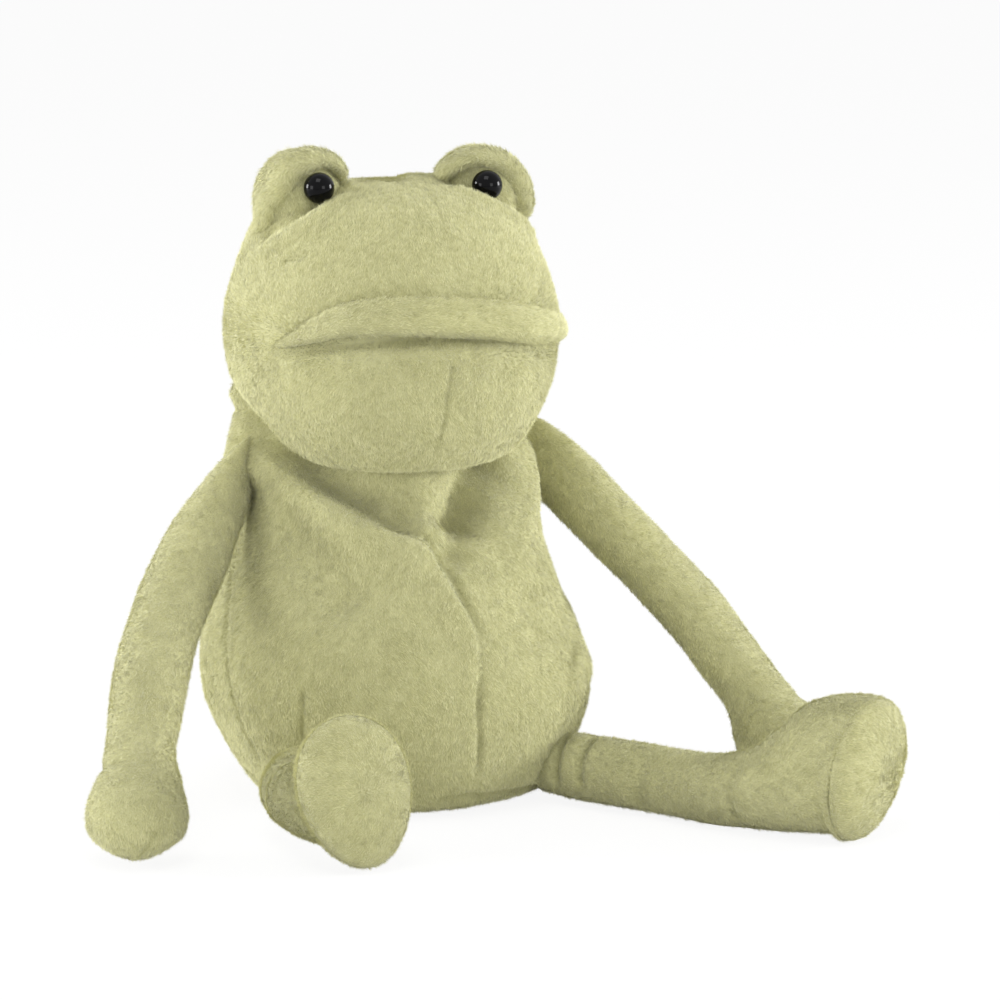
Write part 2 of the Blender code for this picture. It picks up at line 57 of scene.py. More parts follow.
# The photograph's view: the lens looks at the frog's right side a little from above
CAMERA_AZIMUTH_DEG = -24
CAMERA_ELEVATION_DEG = 10
CAMERA_DISTANCE = 1200
CAMERA_LENS = 166.15
AIM_RIGHT = 27.3
AIM_UP = 74.1
SOFT_LIGHT = 0.57
FLOOR_GLOW = 1.03
FLOOR_LIFT = 0.87

# Covers that stand upright. Rows of height, half width, front depth, back depth, middle x and y,
# and how square the section is
BODY_ROWS = (
    (1.6, 0, 0, 0, 0, 0, 2),
    (1.2, 19, 17.5, 17.5, 0, 0, 2),
    (1.4, 34.6, 31.4, 29, 1.6, 0, 2.05),
    (2.6, 38.6, 35.6, 33.5, 2.4, 0, 2.1),
    (6.5, 41.8, 38.8, 38.5, 2.6, -0.3, 2.15),
    (14, 44.8, 42.5, 43.5, 1.4, -0.6, 2.2),
    (27, 49.4, 45.5, 46.5, 0.3, -0.6, 2.2),
    (42, 48.2, 44, 45, -1.4, -0.4, 2.15),
    (57, 43.2, 41, 42, -1.9, 0, 2.1),
    (70, 38.4, 37.5, 38.5, -1.9, 0.4, 2.1),
    (82, 35.8, 33.5, 35, -1.2, 1, 2.1),
    (93, 34, 29, 31, -0.4, 1.5, 2.1),
    (101, 31, 25, 27, 0, 2.5, 2),
    (107, 27, 20, 23, 0, 3, 2),
    (109.5, 14, 10, 12, 0, 3, 2),
    (110, 0, 0, 0, 0, 3, 2),
)
HEAD_ROWS = (
    (86.2, 0, 0, 0, -1.5, -10, 2),
    (86.6, 11.5, 10.5, 10.5, -1.5, -10, 2),
    (88.8, 24.5, 23.5, 23, -1.6, -10, 2.05),
    (93, 30.5, 29, 28, -1.9, -9.6, 2.1),
    (99, 34.6, 35, 33, -2.6, -9, 2.15),
    (107, 39.2, 38.5, 36, -3.4, -7.5, 2.2),
    (117, 41.5, 40.5, 38, -2.8, -5.5, 2.2),
    (127, 41.4, 40, 37.5, -2.6, -4.5, 2.2),
    (137, 38.6, 37.5, 36, -2.1, -3.5, 2.2),
    (145, 35.4, 33, 32, -1.6, -1.5, 2.15),
    (151, 31, 26.5, 26, -1.5, 0.5, 2.1),
    (154.8, 24, 19.5, 19.5, -1.2, 2, 2),
    (156.6, 12.5, 11, 11, -1, 3, 2),
    (157.1, 0, 0, 0, -1, 3, 2),
)
SEAT_ROWS = (
    (0, 0, 0, 0, 0, 0, 2),
    (0, 22, 19, 19, 0, 0, 2),
    (0.1, 32, 28.5, 28, 0.6, 0, 2),
    (0.9, 36, 32.2, 31, 1, 0, 2),
    (2.4, 37, 33.2, 32.2, 1, 0, 2),
    (3.6, 34.6, 31, 31, 0, 0, 2),
    (4.2, 20, 18, 18, 0, 0, 2),
    (4.2, 0, 0, 0, 0, 0, 2),
)

# Folds and seams. Height (negative is a hollow), width to the left and to the right of its travel,
# and the points that it runs through
BODY_FOLDS = (
    (4.2, 2.2, 9, (
        (-34.9, 4, 91.4), (-34.6, -7.3, 88.1), (-31.1, -17.8, 83.5), (-26.1, -25.2, 80.1),
        (-18.3, -32.6, 74.7), (-13.4, -35.4, 72.2), (-8.8, -37, 71), (-5.8, -38.7, 67.2),
        (-1.7, -40.8, 61.4),
    )),
    (8.5, 8, 7, ((-37, 4, 80), (-35, 5, 90), (-33.5, 6, 98), (-32, 7, 105), (-28, 8, 110))),
    (3, 7, 7, ((-33, 7, 97), (-32, 8, 103), (-30, 9, 107), (-24, 9, 109.5))),
    (-1.5, 1.2, 1.1, (
        (-33.9, -8.5, 90), (-30.2, -18.6, 85.6), (-25.2, -25.8, 82), (-17.4, -32.8, 76.9),
        (-12.6, -35.4, 74.2), (-8, -37, 72.6), (-4.9, -38.5, 68.6), (-0.8, -40.6, 62.4),
        (2, -42.2, 56), (4.6, -43.6, 50), (4.8, -45, 44),
    )),
    (-3.4, 6, 6, (
        (-34, -8, 92), (-29.5, -17, 89.5), (-23, -26, 86), (-16, -31.5, 81.5), (-10, -34.5, 78),
        (-5, -37, 74),
    )),
    (-2.8, 6.5, 6.5, (
        (-36, -4, 93), (-33, -10, 91.5), (-29.5, -17, 89.5), (-23, -26, 86), (-14, -32.5, 80.5),
    )),
    (1.2, 4, 3.4, (
        (-7.5, -29, 90), (-6.4, -32, 84), (-5.6, -34, 79.5), (-5.2, -36, 75.5), (-5, -37.3, 71),
    )),
    (-8, 9, 6, (
        (20, -22, 95), (14, -28.5, 90.5), (8.5, -32, 85), (4.5, -34, 80.5), (1.6, -36, 76.5),
        (-0.5, -38, 71.5),
    )),
    (-3, 5, 4.5, (
        (14, -30, 84), (8, -34, 78.5), (3.5, -36.5, 74), (0, -39, 68.5), (-0.6, -40.4, 62),
    )),
    (2.2, 6, 5, (
        (32.7, -7, 94), (32.7, -17, 81), (26.5, -28.6, 73.5), (21.5, -35, 64.7), (20, -37.4, 57),
    )),
    (1.3, 1.2, 5, (
        (-5.8, -38.7, 67.2), (-1.7, -40.8, 61.4), (1.8, -42.2, 56), (4.6, -43.6, 50),
        (4.7, -45.1, 43.1), (4.2, -46.6, 33),
    )),
    (-0.9, 1.1, 1.0, (
        (-4.8, -38.5, 68), (-1.7, -40.8, 61.4), (1.8, -42.2, 56), (4.6, -43.6, 50),
        (4.7, -45.1, 43.1), (3.9, -47, 29.4), (4.3, -45, 18), (5.5, -41.2, 7),
    )),
    (-3.4, 7, 7, (
        (-36.6, -9.8, 78.3), (-34.8, -17.1, 74.7), (-31.6, -27.7, 64.1), (-26.1, -36.9, 51.5),
    )),
    (-1.6, 5, 5, ((22.2, -36.6, 60), (23.5, -39, 49.2), (25.5, -40, 40))),
    (2.4, 9, 9, ((36, -33, 38), (42, -28, 31))),
    (-0.8, 10, 10, ((39, -22, 72), (41, -20, 58), (45, -18, 47))),
    (-0.75, 0.9, 0.9, (
        (-38, 9.5, 80), (-39.6, 7.6, 71), (-46, -1.5, 53.8), (-49.3, -7.7, 40.8),
        (-49.7, -12.5, 28), (-45.5, -11.5, 10.2), (-41, -9, 4),
    )),
    (-0.75, 0.9, 0.9, (
        (38, 9.5, 80), (39.6, 7.6, 71), (46, -1.5, 53.8), (49.3, -7.7, 40.8), (49.7, -12.5, 28),
        (45.5, -11.5, 10.2), (41, -9, 4),
    )),
    (-0.7, 0.8, 0.8, ((-38.5, -32.4, 37), (-39.4, -31.9, 20))),
    (-0.7, 0.8, 0.8, ((38.5, -32.4, 37), (39.4, -31.9, 20))),
    (-1.2, 1.3, 1.1, (
        (-6, -39, 5.2), (4, -38.5, 5.4), (13, -36.5, 5.2), (21, -33, 5), (28, -28, 5),
    )),
    (-0.75, 0.9, 0.9, ((0, 31, 98), (0, 40, 72), (0, 46, 45), (0, 47, 25), (0, 38, 5))),
    (-1.6, 6, 6, ((20, 30, 88), (28, 33, 70), (33, 32, 55))),
    (-1.6, 6, 6, ((-20, 30, 88), (-28, 33, 70), (-33, 32, 55))),
)
HEAD_FOLDS = (
    (-0.15, 0.9, 0.9, (
        (-1, -4, 157), (3.8, -12.3, 156.2), (3.4, -18.6, 154.4), (0.3, -33.4, 146),
        (0.1, -39.5, 139.4),
    )),
    (-0.4, 0.7, 0.7, (
        (-2.3, -46.5, 121.8), (-4, -47.1, 113), (-5.4, -46.3, 103.3), (-6.1, -38.3, 91.9),
    )),
    (-0.9, 1.0, 1.0, ((-37.4, -16.5, 140.2), (-34.7, -19.8, 141.9), (-31.5, -23, 143.2))),
    (1.3, 5.0, 2.6, (
        (-40, -1.5, 138.5), (-38.6, -6.4, 142.4), (-35.4, -12.6, 145.4), (-31.3, -15.6, 147.6),
        (-26.4, -14, 151), (-21, -11.5, 153.6), (-14.5, -6, 156),
    )),
    (1.3, 5.0, 2.6, (
        (9.7, -5, 156.4), (15, -9.5, 154.6), (18.2, -13.5, 152.8), (22.9, -15.4, 150.4),
        (28, -15.2, 147.6), (32.4, -13, 145), (36, -7, 141),
    )),
    (-2.6, 3.6, 3.6, (
        (-38.5, -0.5, 142), (-37.3, -2.5, 145.5), (-34.5, -7, 148.6), (-29.5, -9.5, 151.6),
        (-24.5, -8, 154.2), (-19, -4.5, 156.4), (-15, -1, 157),
    )),
    (-2.6, 3.6, 3.6, (
        (11, -1, 157), (14, -3.5, 156.6), (19, -8, 154.8), (23.5, -9.5, 153), (28.5, -9, 150.8),
        (33, -6, 147.5), (35.5, -2, 144),
    )),
    (-2.8, 2.5, 2.7, (
        (-42.4, -19, 119), (-41.7, -21.6, 119.2), (-37.5, -29.6, 120.3), (-28.9, -37.9, 122.1),
        (-21, -42, 123.4), (-11.3, -44.4, 124), (-0.9, -45.1, 123.4), (10.6, -43.8, 122.1),
        (20, -40.4, 120.3), (28.9, -33.6, 117.4), (36, -22, 116),
    )),
    (-0.45, 1.8, 1.8, (
        (-41.5, -21.5, 123.5), (-38.6, -27.1, 125.6), (-33.4, -32.7, 128.9), (-28, -36.4, 131.5),
        (-20, -39.9, 133.4), (-10.6, -42.2, 134), (-0.1, -42.9, 133.4), (11, -42, 131.6),
        (20.8, -38.6, 129.2), (30.1, -31.4, 127), (36, -22, 126),
    )),
    (1.8, 9, 8, ((2, 4, 157), (10, 2, 157.5), (18, 2, 157), (26, 3, 155))),
    (1.2, 5, 5, ((-23, 2, 156), (-16, 0, 157.5), (-9, 1, 157.5))),
    (-0.7, 0.9, 0.9, ((-1, 28, 150), (-1, 34, 138), (-1, 34, 120), (-1, 29, 104))),
)

# The upper lip's roll: its middle, half depth, half height and how much fuller it is below
LIP_ROWS = (
    (-41, -19, 119.6, 0.2, 0.2, 0.4),
    (-40.6, -20.2, 120.2, 0.8, 0.7, 0.4),
    (-39.7, -22, 121.1, 1.5, 1.4, 0.4),
    (-37.2, -26.2, 123.0, 2.4, 2.5, 0.4),
    (-33.2, -31.1, 125.5, 3.2, 3.5, 0.4),
    (-27.4, -35.7, 127.9, 3.8, 4.2, 0.4),
    (-19.9, -39.6, 128.7, 4.1, 4.6, 0.4),
    (-10.8, -42.1, 128.7, 4.2, 4.7, 0.4),
    (-0.9, -42.9, 127.9, 4.2, 4.8, 0.4),
    (10.0, -41.7, 126.7, 4.2, 4.8, 0.4),
    (19.6, -38.3, 124.7, 4.0, 4.6, 0.4),
    (28.2, -31.6, 122.9, 3.7, 4.2, 0.4),
    (33.8, -24.6, 121.6, 3.1, 3.6, 0.35),
    (36.7, -19.6, 121.2, 2.2, 2.8, 0.2),
    (37.7, -16.8, 121.1, 1.2, 1.8, 0),
    (38, -15.2, 121.0, 0.2, 0.3, 0),
)

# Eyes: each dome's middle and half sizes, each bead's middle, and each hood's roll with its two
# half sizes, from its outer foot over the top to its inner end
DOMES = {
    "left": ((24.4, 3.6, 152.5), (11.4, 10.9, 12.8)),
    "right": ((-24.6, 3.6, 153.5), (11.0, 10.9, 12.8)),
}
BEADS = {"left": (22.3, -9, 156.4), "right": (-23.7, -9, 157.7)}
BEAD_RADIUS = 3.9
HOODS = {
    "left": (
        (33, 5.5, 139.2, 1.5, 1.6, 0),
        (34, 4, 143.3, 2.8, 2.7, 0),
        (34.1, 1.7, 147.1, 3.6, 3.7, 0),
        (35.1, 0.4, 150.1, 3.8, 4.1, 0),
        (34.4, -0.8, 153.3, 3.8, 4.3, 0),
        (32.8, -1.6, 156.6, 3.8, 4.5, 0),
        (30.3, -2, 159.5, 3.7, 4.5, 0),
        (27.6, -2.3, 161.7, 3.3, 4.3, 0),
        (23.6, -2.3, 162.8, 2.9, 4.1, 0),
        (19.5, -2.3, 163, 2.4, 3.9, 0),
        (16.3, -2.1, 161.9, 2.2, 3.5, 0),
        (13.8, -1.8, 160.2, 2, 2.9, 0),
        (12.2, -0.8, 157.9, 1.5, 2.1, 0),
    ),
    "right": (
        (-34.1, 5.5, 140.2, 1.5, 1.6, 0),
        (-34.1, 4, 144.3, 2.6, 2.7, 0),
        (-33.7, 1.7, 148.7, 3.1, 3.5, 0),
        (-33.1, 0.7, 152.4, 3.6, 4.1, 0),
        (-31.3, -0.8, 156, 3.8, 4.4, 0),
        (-29.8, -1.6, 158.9, 4, 4.5, 0),
        (-29.1, -2, 161.7, 3.8, 4.5, 0),
        (-26.2, -2.3, 163.2, 3.6, 4.3, 0),
        (-23.2, -2.3, 164.1, 3.2, 4.1, 0),
        (-20.5, -2.3, 164.2, 2.5, 3.8, 0),
        (-17.7, -2.1, 163.2, 2.2, 3.3, 0),
        (-15.6, -1.8, 161.4, 1.8, 2.7, 0),
        (-14.1, -0.8, 158.7, 1.4, 1.9, 0),
    ),
}

# Limbs, for the frog's left arm and for each leg. The middle of each section, its half size
# across and up, and how much fuller it is below
ARM_ROWS = (
    (33, 3, 86.4, 8.5, 1.2, 0),
    (38.2, 2.6, 85.6, 9.3, 2.4, 0),
    (43.3, 1, 82.2, 9.2, 4.5, 0),
    (48.9, -2, 76.8, 8.7, 6.6, 0),
    (56, -6.5, 68.2, 8.4, 8.4, 0),
    (65.1, -13.9, 57, 8.2, 9.1, 0),
    (73.5, -22.9, 45.4, 8, 9.2, 0),
    (80.3, -33.2, 33, 7.9, 8.8, 0),
    (84.1, -39.9, 24.8, 8, 8.4, 0),
    (86.2, -44.9, 18, 10.3, 10.3, 0),
    (88, -48.7, 12.4, 12.2, 12, 0),
    (89.3, -51.3, 7.4, 11.3, 11.1, 0),
    (89.9, -52.6, 2.2, 7.6, 8.2, 0),
)
LEG_ROWS = {
    "left": (
        (28, -28, 9.6, 5.5, 6.5, 0),
        (34, -35.5, 9.8, 7, 7.8, 0),
        (43, -48.5, 9.4, 7.8, 8.2, 0),
        (52, -61, 8.8, 8.6, 8.3, 0),
        (60, -73, 8.9, 11.8, 9, 0),
        (67.4, -82.2, 10.8, 14.2, 10.9, 0),
        (73.8, -88.8, 14.4, 14.8, 14.3, 0),
        (78.6, -93.8, 17.4, 14.1, 17.2, -0.08),
        (81.9, -98.6, 18.2, 14, 18.2, -0.1),
        (83.4, -101.6, 18, 13.9, 18, -0.1),
    ),
    "right": (
        (-31, -26, 11.5, 5.5, 6.5, 0),
        (-37.5, -32, 12.6, 7, 7.8, 0),
        (-43, -39.5, 13.2, 7.8, 8.4, 0),
        (-45.8, -47, 13.2, 8.6, 8.6, 0),
        (-45.4, -54, 13, 9, 9.3, 0),
        (-43.8, -60.5, 13.8, 9.6, 10.8, 0),
        (-42.4, -66.5, 15.8, 11.2, 13.8, 0),
        (-42, -72, 18.3, 13, 17.2, -0.08),
        (-42.3, -76.8, 19.3, 13.9, 18.6, -0.12),
    ),
}
# Which way is up for each foot's oval, which leans as the photograph shows it
FOOT_UP = {"left": (0.34, 0.15, 1.0), "right": (-0.16, 0.0, 1.0)}
ARM_FOLDS = (
    (-0.7, 1.4, 1.4, ((84, -49, 21), (89, -46, 19), (91, -40, 21), (86, -36, 24), (80, -40, 27))),
    (-0.5, 0.8, 0.8, ((88, -60, 12), (90, -58, 5), (91, -55, 1))),
)
LEG_FOLDS = {
    "left": (
        (-1.5, 1.2, 1.2, (
            (36, -33, 17), (33.4, -35, 17.5), (28.6, -38.6, 14), (26.5, -40, 9), (28, -39, 3),
        )),
        (-1.5, 1.4, 1.4, (
            (41, -39, 17), (37.6, -40.8, 18), (32.6, -44.4, 14), (30.6, -46, 9), (32, -45, 3),
        )),
        (-1.3, 1.6, 1.6, ((61.5, -84.5, 16), (59.5, -83.5, 12), (58.2, -82.5, 8), (59, -83, 3))),
        (-1.0, 2.4, 2.4, ((47, -57, 15), (44, -58, 9), (45, -57, 4))),
    ),
    "right": (
        (-1.2, 1.5, 1.5, ((-34, -52, 17), (-42, -50, 20), (-50, -48, 15), (-52, -47, 8))),
        (-0.8, 1.3, 1.3, ((-33, -41, 14), (-38, -39, 18), (-46, -37, 14), (-47, -36, 6))),
    ),
}

# The sole's way out from the foot's last section, and its share of that section's size
SOLE_SHARES = (
    (-1.6, 0.0),
    (-1.55, 0.7),
    (-1.1, 0.965),
    (-0.2, 0.995),
    (1.2, 0.975),
    (2.5, 0.885),
    (3.6, 0.7),
    (4.4, 0.38),
    (4.7, 0.0),
)

# Pile: length, half width, blades on a square millimetre, lean as a share of upright, and the
# most that a blade twists about its length
NAP = (0.95, 0.068, 11.4, 1.7, 0.6)
FUZZ = (0.95, 0.04, 2.5, 0.5, 1.2)
FRINGE = (1.4, 0.06, 4.0, 1.4, 1.0)
# The most blades in one piece
PILE_PIECE = 190000
# A hollow narrower than this is a seam, and one as deep as FULL_SEAM has its pile at its shortest
# and darkest; that darkening is painted shade
NARROW = 2.9
FULL_SEAM = 0.8
SEAM_SHORTENING = 0.55
# Cells of the noise that turns, clumps, sweeps and tints the pile
DRIFT_CELL = 2.4
TUFT_CELL = 1.1
PATCH_CELL = 16.0
TONE_CELL = 1.2
# How near the floor a cover carries no pile
PILE_CLEARANCE = 0.6
# A first or last row smaller than this is a pole
POLE_SIZE = 0.2
LINE_STEP = 2.5


def smooth_rows(rows, shares):
    """Rows of a table at shares from 0 to 1 of its length, on a Catmull-Rom curve through them."""
    table = np.asarray(rows, float)
    last = len(table) - 1
    place = np.clip(shares, 0, 1) * last
    low = np.minimum(place.astype(int), last - 1)
    t = (place - low)[:, None]
    a, b, c, d = (table[np.clip(low + step, 0, last)] for step in (-1, 0, 1, 2))
    return b + 0.5 * t * ((c - a) + t * ((2 * a - 5 * b + 4 * c - d) + t * (3 * (b - c) + d - a)))


def smoothstep(value):
    """0 below 0, 1 above 1 and an even ease between them: t squared times (3 - 2t)."""
    t = np.clip(value, 0, 1)
    return t * t * (3 - 2 * t)


def unit(vectors):
    return vectors / np.maximum(np.linalg.norm(vectors, axis=-1, keepdims=True), 1e-9)


def hashed(cells, seed):
    """A repeatable value from 0 to 1 for each cell: the fractional part of a large sine."""
    mixed = cells @ np.array((127.1, 311.7, 74.7)) + seed * 19.19
    return np.abs(np.modf(np.sin(mixed) * 43758.5453)[0])


def lattice_noise(points, cell, seed):
    """Smooth noise from 0 to 1: hashed values at the corners of cubes, eased between them."""
    place = points / cell
    base = np.floor(place)
    share = smoothstep(place - base)
    total = np.zeros(points.shape[:-1])
    for corner in range(8):
        step = np.array([(corner >> k) & 1 for k in range(3)])
        weight = np.prod(np.where(step == 1, share, 1 - share), axis=-1)
        total += weight * hashed(base + step, seed)
    return total


def upright_form(rows, row_count, column_count):
    """Level sections stacked through the rows. Each is a superellipse in polar form,
    (|cos/width|^p + |sin/depth|^p)^(-1/p), with one depth in front and one behind."""
    sections = smooth_rows(rows, np.linspace(0, 1, row_count))
    height, width, front, back, side, forward, square = (c[:, None] for c in sections.T)
    turn = (np.arange(column_count) / column_count * 2 * np.pi + np.pi / 2)[None, :]
    across, along = np.cos(turn), np.sin(turn)
    width = np.maximum(width, 1e-3)
    depth = np.maximum(np.where(along < 0, front, back), 1e-3)
    reach = (np.abs(across / width) ** square + np.abs(along / depth) ** square) ** (-1 / square)
    return np.stack([side + reach * across, forward + reach * along, height + 0 * reach], -1)


def limb_form(rows, reference, row_count, column_count, root_cap, end_cap):
    """Ovals square to a smooth path, wider in their lower half by the last column of the rows.
    Near each capped end both half sizes shrink as a quarter circle does,
    sqrt(1 - (1 - distance/cap)^2), so the end is round."""
    shares = (1 - np.cos(np.linspace(0, np.pi, row_count))) / 2
    shares = 0.35 * shares + 0.65 * np.linspace(0, 1, row_count)
    table = smooth_rows(rows, shares)
    middle, half, fuller = table[:, :3], np.maximum(table[:, 3:5], 0), table[:, 5]
    along = unit(np.gradient(middle, axis=0))
    up = unit(reference - along * (along @ reference)[:, None])
    across = np.cross(up, along)
    steps = np.linalg.norm(np.diff(middle, axis=0), axis=1)
    travelled = np.concatenate([[0], np.cumsum(steps)])
    cap = np.ones(row_count)
    for distance, size in ((travelled, root_cap), (travelled[-1] - travelled, end_cap)):
        cap *= np.sqrt(np.clip(1 - (1 - np.clip(distance / size, 0, 1)) ** 2, 0, 1))
    half = half * cap[:, None]
    turn = np.arange(column_count) / column_count * 2 * np.pi
    wide = half[:, 0, None] * (1 - fuller[:, None] * np.sin(turn)) * np.cos(turn)
    tall = half[:, 1, None] * np.sin(turn)
    return (middle[:, None] + across[:, None] * wide[..., None]) + up[:, None] * tall[..., None]


def form_normals(points):
    """Outward normals of a form whose columns wrap: the way round crossed with the way along."""
    along = np.gradient(points, axis=0)
    round_it = np.roll(points, -1, axis=1) - np.roll(points, 1, axis=1)
    normals = np.cross(round_it, along)
    for end, inner in ((0, 2), (-1, -3)):
        if np.ptp(points[end], axis=0).max() < POLE_SIZE:
            normals[end] = unit(normals[inner]).mean(axis=0)
    return unit(normals)


def beside_line(points, normals, line):
    """How far each point is from a line of points, how far along it, and whether it lies left."""
    line = np.asarray(line, float)
    starts, spans = line[:-1], np.diff(line, axis=0)
    lengths = np.linalg.norm(spans, axis=1)
    begun = np.concatenate([[0], np.cumsum(lengths)[:-1]])
    best = np.full(points.shape[:-1], 1e9)
    share = np.zeros(points.shape[:-1])
    left = np.zeros(points.shape[:-1], bool)
    for start, span, length, before in zip(starts, spans, lengths, begun):
        t = np.clip((points - start) @ span / length**2, 0, 1)
        away = points - (start + t[..., None] * span)
        distance = np.linalg.norm(away, axis=-1)
        closer = distance < best
        best = np.where(closer, distance, best)
        share = np.where(closer, (before + t * length) / lengths.sum(), share)
        side = (np.cross(normals, span) * away).sum(-1) > 0
        left = np.where(closer, side, left)
    return best, share, left


def on_form(line, points):
    """A line of points, LINE_STEP apart, each moved to the form's nearest place and evened out."""
    line = np.asarray(line, float)
    travelled = np.concatenate([[0], np.cumsum(np.linalg.norm(np.diff(line, axis=0), axis=1))])
    samples = np.linspace(0, travelled[-1], max(3, int(travelled[-1] / LINE_STEP)))
    dense = np.stack([np.interp(samples, travelled, line[:, k]) for k in range(3)], 1)
    flat = points.reshape(-1, 3)
    near = flat[((flat**2).sum(1)[None] - 2 * dense @ flat.T).argmin(axis=1)]
    near[1:-1] = (near[:-2] + 2 * near[1:-1] + near[2:]) / 4
    return near


def folded(points, folds):
    """The form pushed along its normals by bell curves, height * exp(-(distance/width)^2), that
    run along each fold's line and fade at its ends, and how near each point is to a narrow hollow
    or seam, from 0 to 1, which the pile uses to shorten its blades there and to darken them with
    painted shade."""
    normals = form_normals(points)
    push, seams = np.zeros((2, *points.shape[:-1]))
    for height, left_width, right_width, line in folds:
        distance, share, left = beside_line(points, normals, on_form(line, points))
        width = np.where(left, left_width, right_width)
        ends = smoothstep(share / END_FADE) * smoothstep((1 - share) / END_FADE)
        bell = np.exp(-((distance / width) ** 2)) * ends
        push += height * bell
        if height < 0 and max(left_width, right_width) < NARROW:
            seams = np.maximum(seams, bell * min(1, -height / FULL_SEAM))
    return points + normals * push[..., None], seams


def softened(points, amount, cell, seed):
    """Loose fabric: the form pushed in and out by smooth noise of the given cell."""
    swell = lattice_noise(points, cell, seed) - 0.5
    return points + form_normals(points) * (2 * amount * swell)[..., None]


def rested(points):
    """The form kept above the floor, pressed flat where it rests."""
    lifted = points.copy()
    lifted[..., 2] = np.maximum(lifted[..., 2], FLOOR_REST)
    return lifted


def mirrored(points):
    """The form mirrored about the middle of the head or body, with its columns reversed so that
    its faces still point outwards."""
    return points[:, ::-1] * np.array((-1, 1, 1))


def mesh_object(name, vertices, faces, material):
    mesh = bpy.data.meshes.new(name)
    mesh.from_pydata((np.asarray(vertices) * MM).tolist(), [], faces)
    return shown(name, mesh, material)


def shown(name, mesh, material):
    mesh.shade_smooth()
    mesh.materials.append(material)
    obj = bpy.data.objects.new(name, mesh)
    bpy.context.scene.collection.objects.link(obj)
    return obj


def form_object(name, points, material):
    """A form as a mesh of quads. When both its ends are poles it is laid out by row and column on
    its bake map. A first or last row of no size becomes one pole with a fan, and one of some size
    is closed by a flat face."""
    rows, columns = points.shape[:2]
    poles = [np.ptp(points[end], axis=0).max() < POLE_SIZE for end in (0, -1)]
    inner = points[1 if poles[0] else 0 : rows - 1 if poles[1] else rows]
    count = len(inner)
    index = np.arange(count * columns).reshape(count, columns)
    after = np.roll(index, -1, axis=1)
    quads = np.stack([index[:-1], after[:-1], after[1:], index[1:]], -1).reshape(-1, 4)
    row, column = (grid.astype(float) for grid in np.mgrid[0 : count - 1, 0:columns])
    down = (row + 1) / (count + 1)
    past = (row + 2) / (count + 1)
    left, right = column / columns, (column + 1) / columns
    corners = np.stack([left, down, right, down, right, past, left, past], -1).reshape(-1, 2)
    vertices, faces, layout = [inner.reshape(-1, 3)], quads.tolist(), [corners]
    extra = count * columns
    around = np.arange(columns) / columns
    step = np.full(columns, 1 / (count + 1))
    for is_pole, end in ((poles[0], 0), (poles[1], -1)):
        edge, edge_after = index[end], after[end]
        if is_pole:
            vertices.append(points[end].mean(axis=0)[None])
            middle = np.full(columns, extra)
            extra += 1
            rim, tip = (step, 0 * step) if end == 0 else (1 - step, 0 * step + 1)
            here, there = around, around + 1 / columns
            pair = (edge_after, edge) if end == 0 else (edge, edge_after)
            sides = (there, here) if end == 0 else (here, there)
            faces += np.stack([middle, *pair], -1).tolist()
            fan = np.stack([around + 0.5 / columns, tip, sides[0], rim, sides[1], rim], -1)
            layout.append(fan.reshape(-1, 2))
        else:
            faces.append((edge[::-1] if end == 0 else edge).tolist())
            layout.append(np.stack([around, 0 * around], -1))
    obj = mesh_object(name, np.concatenate(vertices), faces, material)
    if all(poles):
        chart = obj.data.uv_layers.new(name="OFBake")
        chart.uv.foreach_set("vector", np.concatenate(layout).astype(np.float32).reshape(-1))
    return obj


def pile_objects(
    name, points, material, seed, rows_used=(0.0, 1.0), nap=-1, seams=None, kinds=(NAP, FUZZ)
):
    """Short pile on a form, the nap that lies along it and the fuzz that stands up from it. It is
    shorter in the seams, and darker there by painted shade."""
    seams = np.zeros(points.shape[:-1]) if seams is None else seams
    laid = [
        pile_layer(points, kind, seed + 100 * number, rows_used, nap, seams)
        for number, kind in enumerate(kinds)
    ]
    corners, shade, chart = (np.concatenate(parts) for parts in zip(*laid))
    pieces = []
    for number, first in enumerate(range(0, len(corners), PILE_PIECE)):
        part = slice(first, min(first + PILE_PIECE, len(corners)))
        label = f"{name}_{number + 1}"
        pieces.append(blades(label, corners[part], shade[part], chart[part], material))
    return pieces


